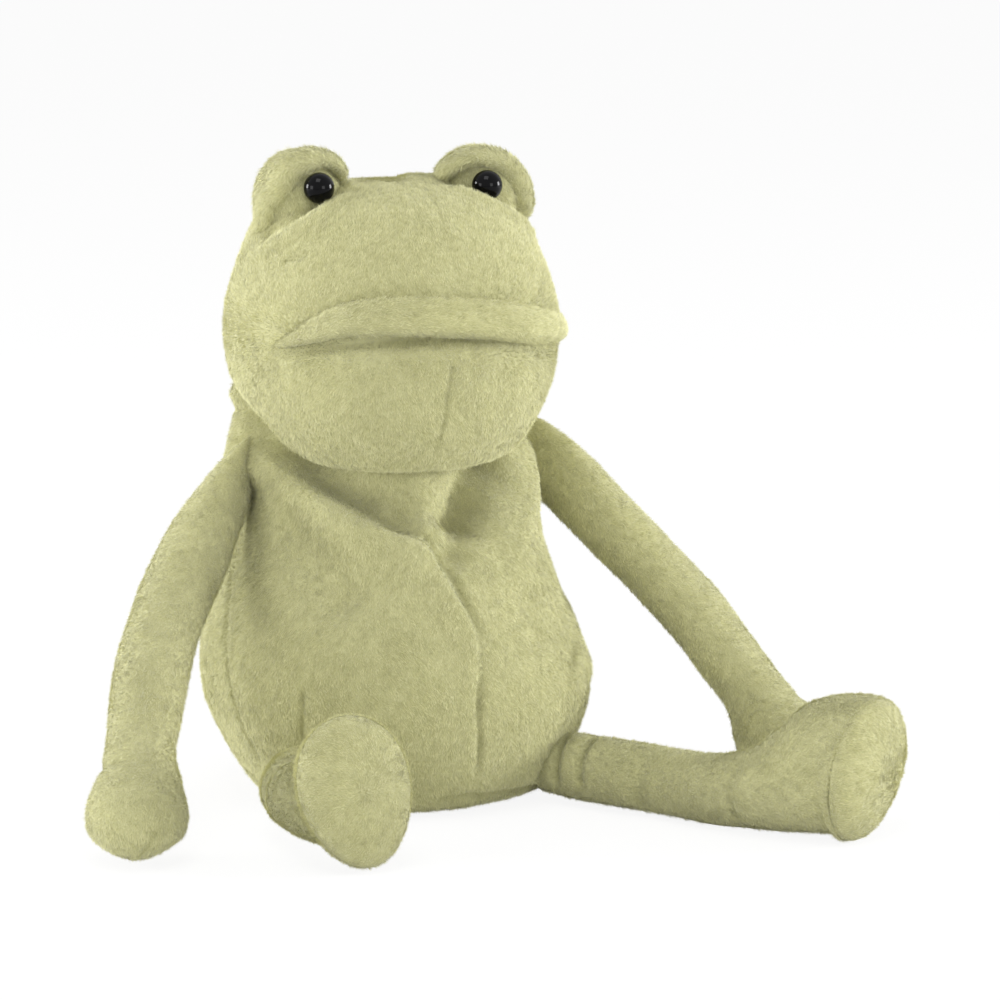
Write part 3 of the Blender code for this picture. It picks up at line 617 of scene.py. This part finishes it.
def pile_layer(points, kind, seed, rows_used, nap, seams):
    """Thin blades at random places, spread evenly by area. Each leans from the normal towards the
    nap by a share that drifts with smooth noise, so that it lies in tufts, and turns its flat side
    up. Roots are painted dark and tips pale, as painted shade down among the blades, kept as a
    shade from 0 to 1."""
    longest, half_width, density, upright_lean, most_twist = kind
    rng = np.random.default_rng(seed)
    normals = form_normals(points)
    along = unit(np.gradient(points, axis=0)) * nap
    wrap = lambda values: np.concatenate([values, values[:, :1]], axis=1)
    kept = (points, normals, along, seams[..., None])
    grid, grid_normals, grid_along, grid_seams = map(wrap, kept)
    a, b, c, d = grid[:-1, :-1], grid[:-1, 1:], grid[1:, 1:], grid[1:, :-1]
    area = np.linalg.norm(np.cross(c - a, d - b), axis=-1) / 2
    low, high = (int(share * len(area)) for share in rows_used)
    area[:low] = 0
    area[high:] = 0
    area[(a[..., 2] < FLOOR_REST + PILE_CLEARANCE)] = 0
    count = int(area.sum() * density)
    cells = np.searchsorted(np.cumsum(area), np.sort(rng.random(count)) * area.sum())
    cells = np.minimum(cells, area.size - 1)
    row, column = np.divmod(cells, area.shape[1])
    u, v = rng.random((2, count, 1))

    def at(values):
        low_side = values[row, column] * (1 - v) + values[row, column + 1] * v
        high_side = values[row + 1, column] * (1 - v) + values[row + 1, column + 1] * v
        return low_side * (1 - u) + high_side * u

    root, normal, nap_way = at(grid), unit(at(grid_normals)), at(grid_along)
    side = np.cross(normal, nap_way)
    drift = lattice_noise(root, DRIFT_CELL, seed) - 0.5
    tuft = lattice_noise(root, TUFT_CELL, seed + 1) - 0.5
    coarse = lattice_noise(root, PATCH_CELL, seed + 2) - 0.5
    loose = rng.random((4, count)) - 0.5
    swing = 1.3 * coarse + 1.1 * drift + 0.8 * loose[0]
    lean = upright_lean * (1 + 0.9 * tuft + 0.6 * loose[1])
    lying = nap_way * np.cos(swing)[:, None] + side * np.sin(swing)[:, None]
    way = unit(normal + lying * lean[:, None])
    in_seam = at(grid_seams)[:, 0]
    length = longest * (1 + 0.4 * loose[2] - 0.7 * tuft) * (1 - SEAM_SHORTENING * in_seam)
    broad = unit(np.cross(way, normal))
    twist = (2 * most_twist * loose[3])[:, None]
    flat = (broad * np.cos(twist) + np.cross(way, broad) * np.sin(twist)) * half_width
    start = root + normal * 0.02
    tip = start + way * length[:, None]
    tip[:, 2] = np.maximum(tip[:, 2], 0.3)
    corners = np.stack([start - flat, start + flat, tip], 1)
    mottle = lattice_noise(root, TONE_CELL, seed + 3) - 0.5
    tone = 0.5 + 0.6 * mottle + 0.6 * (rng.random(count) - 0.5)
    # Painted shade: blades in seams and narrow creases are darkened, where shade falls.
    tone = np.clip(tone - 0.5 * in_seam, 0, 1)
    # Painted shade: each root gets half its tone and sits darker than its tip, standing in for the
    # shade among the blades.
    shade = np.stack([0.5 * tone, 0.5 * tone, 0.3 + 0.7 * tone - 0.3 * in_seam], 1)
    lift = rng.random(count)[:, None] * 0.98
    chart = np.stack([shade, lift + np.array((0, 0.02, 0.01))], -1)
    return corners, shade, chart


def blades(name, corners, shade, chart, material):
    """One triangle for each blade."""
    count = len(corners)
    mesh = bpy.data.meshes.new(name)
    mesh.vertices.add(3 * count)
    mesh.vertices.foreach_set("co", (corners * MM).astype(np.float32).reshape(-1))
    mesh.loops.add(3 * count)
    mesh.loops.foreach_set("vertex_index", np.arange(3 * count, dtype=np.int32))
    mesh.polygons.add(count)
    mesh.polygons.foreach_set("loop_start", np.arange(0, 3 * count, 3, dtype=np.int32))
    mesh.update(calc_edges=True)
    attribute = mesh.attributes.new("pile_shade", "FLOAT", "POINT")
    attribute.data.foreach_set("value", shade.astype(np.float32).reshape(-1))
    layer = mesh.uv_layers.new(name="OFBake")
    layer.uv.foreach_set("vector", chart.astype(np.float32).reshape(-1))
    return shown(name, mesh, material)


def filling_object(name, points, material, inset, first, last):
    """What fills a cover: each section of the cover's form drawn in towards its own middle,
    between two shares of its rows, and kept off the floor."""
    rows = points[int(first * len(points)) : int(last * len(points)) + 1 : 4, ::4]
    middle = rows.mean(axis=1, keepdims=True)
    reach = np.linalg.norm(rows - middle, axis=-1, keepdims=True)
    drawn = middle + (rows - middle) * np.maximum(1 - inset / np.maximum(reach, 0.1), 0.1)
    drawn[..., 2] = np.maximum(drawn[..., 2], FLOOR_REST + 2)
    return form_object(name, drawn, material)


def new_material(name):
    made = bpy.data.materials.new(name)
    made.use_nodes = True
    return made, made.node_tree, made.node_tree.nodes["Principled BSDF"]


def plush_cover():
    """The tricot under the pile: two sages mixed by noise, a fibre bump and a pale sheen."""
    made, tree, shader = new_material("sage_plush_cover")
    place = tree.nodes.new("ShaderNodeTexCoord")
    patches = tree.nodes.new("ShaderNodeTexNoise")
    patches.inputs["Scale"].default_value = 90
    patches.inputs["Detail"].default_value = 3
    ramp = tree.nodes.new("ShaderNodeValToRGB")
    ramp.color_ramp.elements[0].position = 0.3
    ramp.color_ramp.elements[0].color = (0.45, 0.44, 0.225, 1)
    ramp.color_ramp.elements[1].position = 0.7
    ramp.color_ramp.elements[1].color = (0.54, 0.53, 0.29, 1)
    fibres = tree.nodes.new("ShaderNodeTexNoise")
    fibres.inputs["Scale"].default_value = 1400
    fibres.inputs["Detail"].default_value = 2
    bump = tree.nodes.new("ShaderNodeBump")
    bump.inputs["Strength"].default_value = 0.6
    bump.inputs["Distance"].default_value = 0.0003
    tree.links.new(place.outputs["Object"], patches.inputs["Vector"])
    tree.links.new(place.outputs["Object"], fibres.inputs["Vector"])
    tree.links.new(patches.outputs["Fac"], ramp.inputs["Fac"])
    tree.links.new(ramp.outputs["Color"], shader.inputs["Base Color"])
    tree.links.new(fibres.outputs["Fac"], bump.inputs["Height"])
    tree.links.new(bump.outputs["Normal"], shader.inputs["Normal"])
    shader.inputs["Roughness"].default_value = 0.95
    shader.inputs["Sheen Weight"].default_value = 0.3
    shader.inputs["Sheen Roughness"].default_value = 0.5
    shader.inputs["Specular IOR Level"].default_value = 0.1
    return made


def plush_pile():
    """The pile's blades: olive at the root and pale sage at the tip, with patches by noise; the
    olive roots and the darker seams are painted shade.
    """
    made, tree, shader = new_material("sage_pile")
    shade = tree.nodes.new("ShaderNodeAttribute")
    shade.attribute_name = "pile_shade"
    ramp = tree.nodes.new("ShaderNodeValToRGB")
    # Painted shade: the dark olive at the ramp's low end is the shade painted at the roots and in
    # the seams.
    ramp.color_ramp.elements[0].position = 0.0
    ramp.color_ramp.elements[0].color = (0.32, 0.315, 0.145, 1)
    ramp.color_ramp.elements[1].position = 0.95
    ramp.color_ramp.elements[1].color = (0.88, 0.86, 0.545, 1)
    middle = ramp.color_ramp.elements.new(0.3)
    middle.color = (0.58, 0.57, 0.29, 1)
    tree.links.new(shade.outputs["Fac"], ramp.inputs["Fac"])
    tree.links.new(ramp.outputs["Color"], shader.inputs["Base Color"])
    shader.inputs["Roughness"].default_value = 0.9
    shader.inputs["Sheen Weight"].default_value = 1.0
    shader.inputs["Sheen Roughness"].default_value = 0.45
    shader.inputs["Sheen Tint"].default_value = (1, 1, 0.95, 1)
    shader.inputs["Specular IOR Level"].default_value = 0.15
    return made


def bead_plastic():
    """Glossy black plastic with the faintest moulding ripple."""
    made, tree, shader = new_material("bead_black")
    place = tree.nodes.new("ShaderNodeTexCoord")
    ripple = tree.nodes.new("ShaderNodeTexNoise")
    ripple.inputs["Scale"].default_value = 250
    bump = tree.nodes.new("ShaderNodeBump")
    bump.inputs["Strength"].default_value = 0.04
    bump.inputs["Distance"].default_value = 0.0001
    tree.links.new(place.outputs["Object"], ripple.inputs["Vector"])
    tree.links.new(ripple.outputs["Fac"], bump.inputs["Height"])
    tree.links.new(bump.outputs["Normal"], shader.inputs["Normal"])
    shader.inputs["Base Color"].default_value = (0.002, 0.002, 0.0025, 1)
    shader.inputs["Roughness"].default_value = 0.06
    shader.inputs["Specular IOR Level"].default_value = 0.12
    return made


def speckled(name, dark, light, scale, roughness):
    """A hidden filling's finish: two tones mixed by noise at the size of its fibres or pellets."""
    made, tree, shader = new_material(name)
    place = tree.nodes.new("ShaderNodeTexCoord")
    grains = tree.nodes.new("ShaderNodeTexNoise")
    grains.inputs["Scale"].default_value = scale
    ramp = tree.nodes.new("ShaderNodeValToRGB")
    ramp.color_ramp.elements[0].color = (*dark, 1)
    ramp.color_ramp.elements[1].color = (*light, 1)
    tree.links.new(place.outputs["Object"], grains.inputs["Vector"])
    tree.links.new(grains.outputs["Fac"], ramp.inputs["Fac"])
    tree.links.new(ramp.outputs["Color"], shader.inputs["Base Color"])
    shader.inputs["Roughness"].default_value = roughness
    return made


def dressed(obj, body, nodes=()):
    """The piece rides its body and stands for its solids, which it hides."""
    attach(obj, body)
    if nodes:
        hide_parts(*nodes)
    return obj


def make_camera_and_lights():
    azimuth, elevation = math.radians(CAMERA_AZIMUTH_DEG), math.radians(CAMERA_ELEVATION_DEG)
    back = Vector(
        (
            math.sin(azimuth) * math.cos(elevation),
            -math.cos(azimuth) * math.cos(elevation),
            math.sin(elevation),
        )
    )
    right = Vector((math.cos(azimuth), math.sin(azimuth), 0))
    up = back.cross(right)
    aim = (right * AIM_RIGHT + up * AIM_UP) * MM
    lens = bpy.data.cameras.new("photo_view")
    lens.lens = CAMERA_LENS
    lens.clip_end = 20
    camera = bpy.data.objects.new("photo_view", lens)
    turn = Matrix((right, up, back)).transposed().to_4x4()
    camera.matrix_world = Matrix.Translation(aim + back * CAMERA_DISTANCE * MM) @ turn
    bpy.context.scene.collection.objects.link(camera)
    bpy.context.scene.camera = camera

    # Each lamp's way from the frog: to the right, up and back towards the lens
    for name, way, distance, size, power in (
        ("top_box", (-0.1, 0.9, 0.6), 1.3, 0.6, 5.0),
        ("left_box", (-0.8, 0.05, 0.57), 1.3, 0.48, 3.8),
        ("right_box", (0.55, 0.05, 0.82), 1.3, 0.48, 3.1),
        ("left_rim", (-1, 0.2, -0.1), 1.3, 0.4, 12),
        ("right_rim", (1, 0.2, -0.1), 1.3, 0.4, 13.5),
    ):
        lamp = bpy.data.lights.new(name, "AREA")
        lamp.shape = "SQUARE"
        lamp.size = size
        lamp.energy = power
        out = (right * way[0] + up * way[1] + back * way[2]).normalized()
        obj = bpy.data.objects.new(name, lamp)
        obj.location = Vector((0, -0.02, 0.085)) + out * distance
        obj.rotation_mode = "QUATERNION"
        obj.rotation_quaternion = (-out).to_track_quat("-Z", "Y")
        bpy.context.scene.collection.objects.link(obj)


def seen_white(tree):
    """Where the camera or a reflection looks straight at it, it shows plain white."""
    path = tree.nodes.new("ShaderNodeLightPath")
    first = tree.nodes.new("ShaderNodeMath")
    first.operation = "MAXIMUM"
    second = tree.nodes.new("ShaderNodeMath")
    second.operation = "MAXIMUM"
    tree.links.new(path.outputs["Is Camera Ray"], first.inputs[0])
    tree.links.new(path.outputs["Is Glossy Ray"], first.inputs[1])
    tree.links.new(first.outputs[0], second.inputs[0])
    tree.links.new(path.outputs["Is Transmission Ray"], second.inputs[1])
    return second


def make_world():
    world = bpy.data.worlds.new("studio")
    world.use_nodes = True
    bpy.context.scene.world = world
    tree = world.node_tree
    soft = tree.nodes["Background"]
    soft.inputs["Color"].default_value = (1, 1, 1, 1)
    soft.inputs["Strength"].default_value = SOFT_LIGHT
    white = tree.nodes.new("ShaderNodeBackground")
    white.inputs["Color"].default_value = (1, 1, 1, 1)
    white.inputs["Strength"].default_value = 1.0
    mix = tree.nodes.new("ShaderNodeMixShader")
    switch = seen_white(tree)
    tree.links.new(switch.outputs[0], mix.inputs["Fac"])
    tree.links.new(soft.outputs[0], mix.inputs[1])
    tree.links.new(white.outputs[0], mix.inputs[2])
    tree.links.new(mix.outputs[0], tree.nodes["World Output"].inputs["Surface"])


def make_floor():
    """A pale floor: diffuse, so that it keeps the frog's shadow, lifted by a little glow."""
    made, tree, shader = new_material("pale_floor")
    shader.inputs["Base Color"].default_value = (0.9, 0.9, 0.9, 1)
    shader.inputs["Roughness"].default_value = 1
    shader.inputs["Specular IOR Level"].default_value = 0
    glow = tree.nodes.new("ShaderNodeEmission")
    glow.inputs["Color"].default_value = (1, 1, 1, 1)
    glow.inputs["Strength"].default_value = FLOOR_GLOW
    mix = tree.nodes.new("ShaderNodeMixShader")
    path = tree.nodes.new("ShaderNodeLightPath")
    scale = tree.nodes.new("ShaderNodeMath")
    scale.operation = "MULTIPLY"
    scale.inputs[1].default_value = FLOOR_LIFT
    tree.links.new(path.outputs["Is Camera Ray"], scale.inputs[0])
    tree.links.new(scale.outputs[0], mix.inputs["Fac"])
    tree.links.new(shader.outputs[0], mix.inputs[1])
    tree.links.new(glow.outputs[0], mix.inputs[2])
    tree.links.new(mix.outputs[0], tree.nodes["Material Output"].inputs["Surface"])
    size = 6000
    corners = [(-size, -size, 0), (size, -size, 0), (size, size, 0), (-size, size, 0)]
    mesh_object("floor", corners, [(0, 1, 2, 3)], made)


def make_torso(cover, pile, fibre, pellets):
    body = upright_form(BODY_ROWS, 200, 400)
    body, seams = folded(body, BODY_FOLDS)
    body = softened(body, 0.5, 16, 3)
    piece = form_object("body_cover", body, cover)
    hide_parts("body_skin")
    for each in (piece, *pile_objects("body_pile", body, pile, 11, (0.0, 0.93), seams=seams)):
        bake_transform(each)
    stuffing = filling_object("body_fibre", body, fibre, 7, 0.47, 0.86)
    dressed(stuffing, "torso", ["body_stuffing"])
    seat_fill = filling_object("seat_fill", body, pellets, 2.6, 0.25, 0.45)
    dressed(seat_fill, "torso", ["seat_pellets"])
    seat = upright_form(SEAT_ROWS, 60, 240)
    piece = form_object("seat_cover", seat, cover)
    dressed(piece, "torso", ["seat_panel"])
    for each in pile_objects("seat_pile", seat, pile, 13, (0.3, 0.85)):
        dressed(each, "torso")


def make_head(cover, pile, fibre):
    head = upright_form(HEAD_ROWS, 200, 400)
    head, seams = folded(head, HEAD_FOLDS)
    head = softened(head, 0.35, 14, 5)
    dressed(form_object("head_cover", head, cover), "head", ["head_skin"])
    # The nap lies down the chin and up the brow, and stands upright where the two part
    nap = 2 * smoothstep((np.linspace(0, 1, len(head)) - 0.38) / 0.24)[:, None, None] - 1
    for each in pile_objects("head_pile", head, pile, 21, (0.05, 1.0), nap, seams):
        dressed(each, "head")
    filling = filling_object("head_fibre", head, fibre, 3.4, 0.14, 0.86)
    dressed(filling, "head", ["head_stuffing"])
    lip = limb_form(LIP_ROWS, np.array((0.0, 0.0, 1.0)), 200, 48, 1.0, 1.0)
    dressed(form_object("lip_cover", lip, cover), "head", ["upper_lip"])
    for each in pile_objects("lip_pile", lip, pile, 23, nap=1):
        dressed(each, "head")


def round_form(middle, half, row_count, column_count):
    """An ellipsoid, latitude by longitude."""
    rise = np.linspace(-np.pi / 2, np.pi / 2, row_count)[:, None]
    turn = (np.arange(column_count) / column_count * 2 * np.pi + np.pi / 2)[None, :]
    way = [np.cos(rise) * np.cos(turn), np.cos(rise) * np.sin(turn), np.sin(rise) + 0 * turn]
    return np.array(middle) + np.stack(way, -1) * np.array(half)


def make_eye(label, cover, pile, bead):
    seed = 31 if label == "left" else 41
    dome = round_form(*DOMES[label], 80, 120)
    piece = form_object(f"{label}_eye_dome_cover", dome, cover)
    dressed(piece, "head", [f"{label}_eye_dome"])
    laid = pile_objects(
        f"{label}_eye_dome_pile", dome, pile, seed, (0.3, 1.0), kinds=(NAP, FRINGE)
    )
    for each in laid:
        dressed(each, "head")
    rows = HOODS[label] if label == "right" else HOODS[label][::-1]
    hood = limb_form(rows, np.array((0.0, -1.0, 0.0)), 120, 56, 1.2, 1.2)
    piece = form_object(f"{label}_hood_cover", hood, cover)
    dressed(piece, "head", [f"{label}_brow"])
    for each in pile_objects(f"{label}_hood_pile", hood, pile, seed + 1, kinds=(NAP, FRINGE)):
        dressed(each, "head")
    ball = round_form(BEADS[label], (BEAD_RADIUS,) * 3, 48, 80)
    dressed(form_object(f"{label}_bead", ball, bead), "head", [f"{label}_eye"])


def make_arm(side, label, cover, pile, fibre, pellets):
    seed = 51 if side > 0 else 61
    plane = unit(np.array((53.0, 47.5, 0.0)))
    arm, seams = folded(limb_form(ARM_ROWS, plane, 220, 120, 1.5, 7.0), ARM_FOLDS)
    if side < 0:
        arm, seams = mirrored(arm), seams[:, ::-1]
    arm = softened(rested(arm), 0.35, 12, seed)
    piece = form_object(f"{label}_arm_cover", arm, cover)
    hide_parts(f"{label}_arm_skin")
    for each in (piece, *pile_objects(f"{label}_arm_pile", arm, pile, seed, nap=1, seams=seams)):
        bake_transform(each)
    filling = filling_object(f"{label}_arm_fibre", arm, fibre, 2.4, 0.26, 0.7)
    dressed(filling, f"{label}_arm", [f"{label}_arm_stuffing"])
    filling = filling_object(f"{label}_hand_fill", arm, pellets, 2.4, 0.73, 0.955)
    dressed(filling, f"{label}_arm", [f"{label}_hand_pellets"])


def make_leg(label, cover, pile, fibre, pellets):
    seed = 71 if label == "left" else 81
    rows = LEG_ROWS[label]
    upright = np.array(FOOT_UP[label])
    leg, seams = folded(limb_form(rows, upright, 220, 130, 2.0, 1.0), LEG_FOLDS[label])
    leg = softened(rested(leg), 0.3, 12, seed)
    piece = form_object(f"{label}_leg_cover", leg, cover)
    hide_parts(f"{label}_leg_skin")
    laid = pile_objects(f"{label}_leg_pile", leg, pile, seed, (0.0, 0.995), nap=1, seams=seams)
    for each in (piece, *laid):
        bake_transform(each)
    filling = filling_object(f"{label}_leg_fibre", leg, fibre, 2.4, 0.24, 0.52)
    dressed(filling, f"{label}_leg", [f"{label}_leg_stuffing"])
    filling = filling_object(f"{label}_foot_fill", leg, pellets, 2.4, 0.56, 0.955)
    dressed(filling, f"{label}_leg", [f"{label}_foot_pellets"])

    sole = rested(sole_form(rows, upright, 50, 120))
    piece = form_object(f"{label}_sole_cover", sole, cover)
    dressed(piece, f"{label}_leg", [f"{label}_sole"])
    for each in pile_objects(f"{label}_sole_pile", sole, pile, seed + 1, (0.2, 1.0), nap=1):
        dressed(each, f"{label}_leg")


def sole_form(rows, upright, row_count, column_count):
    """The sole's pillow: the leg's last section carried a little way on, growing and shrinking by
    the shares of SOLE_SHARES, wider below as that section is."""
    middle, before = np.array(rows[-1][:3]), np.array(rows[-2][:3])
    wide, tall, fuller = rows[-1][3:]
    along = unit(middle - before)
    up = unit(upright - along * (along @ upright))
    across = np.cross(up, along)
    table = smooth_rows(SOLE_SHARES, np.linspace(0, 1, row_count))
    forward, share = table[:, 0, None, None], np.maximum(table[:, 1], 0)[:, None, None]
    turn = (np.arange(column_count) / column_count * 2 * np.pi)[None, :, None]
    ring = across * wide * (1 - fuller * np.sin(turn)) * np.cos(turn) + up * tall * np.sin(turn)
    return middle + along * forward + ring * share


def dress_hidden_solids(fibre, pellets):
    """The washers stay as solids, and so do the shapes that the fillings stand for."""
    washer = speckled("washer_white", (0.68, 0.68, 0.66), (0.74, 0.74, 0.72), 900, 0.4)
    for name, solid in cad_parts.items():
        for ending, finish in (("stuffing", fibre), ("pellets", pellets), ("washer", washer)):
            if name.endswith(ending):
                solid.data.materials.clear()
                solid.data.materials.append(finish)


def main():
    bpy.context.scene.view_settings.view_transform = "Standard"
    make_camera_and_lights()
    make_world()
    make_floor()
    cover, pile, bead = plush_cover(), plush_pile(), bead_plastic()
    fibre = speckled("white_fibre", (0.70, 0.70, 0.66), (0.88, 0.88, 0.85), 300, 1.0)
    pellets = speckled("pellet_beads", (0.45, 0.46, 0.46), (0.75, 0.76, 0.76), 500, 0.45)
    make_torso(cover, pile, fibre, pellets)
    make_head(cover, pile, fibre)
    for side, label in ((1, "left"), (-1, "right")):
        make_eye(label, cover, pile, bead)
        make_arm(side, label, cover, pile, fibre, pellets)
        make_leg(label, cover, pile, fibre, pellets)
    dress_hidden_solids(fibre, pellets)


main()
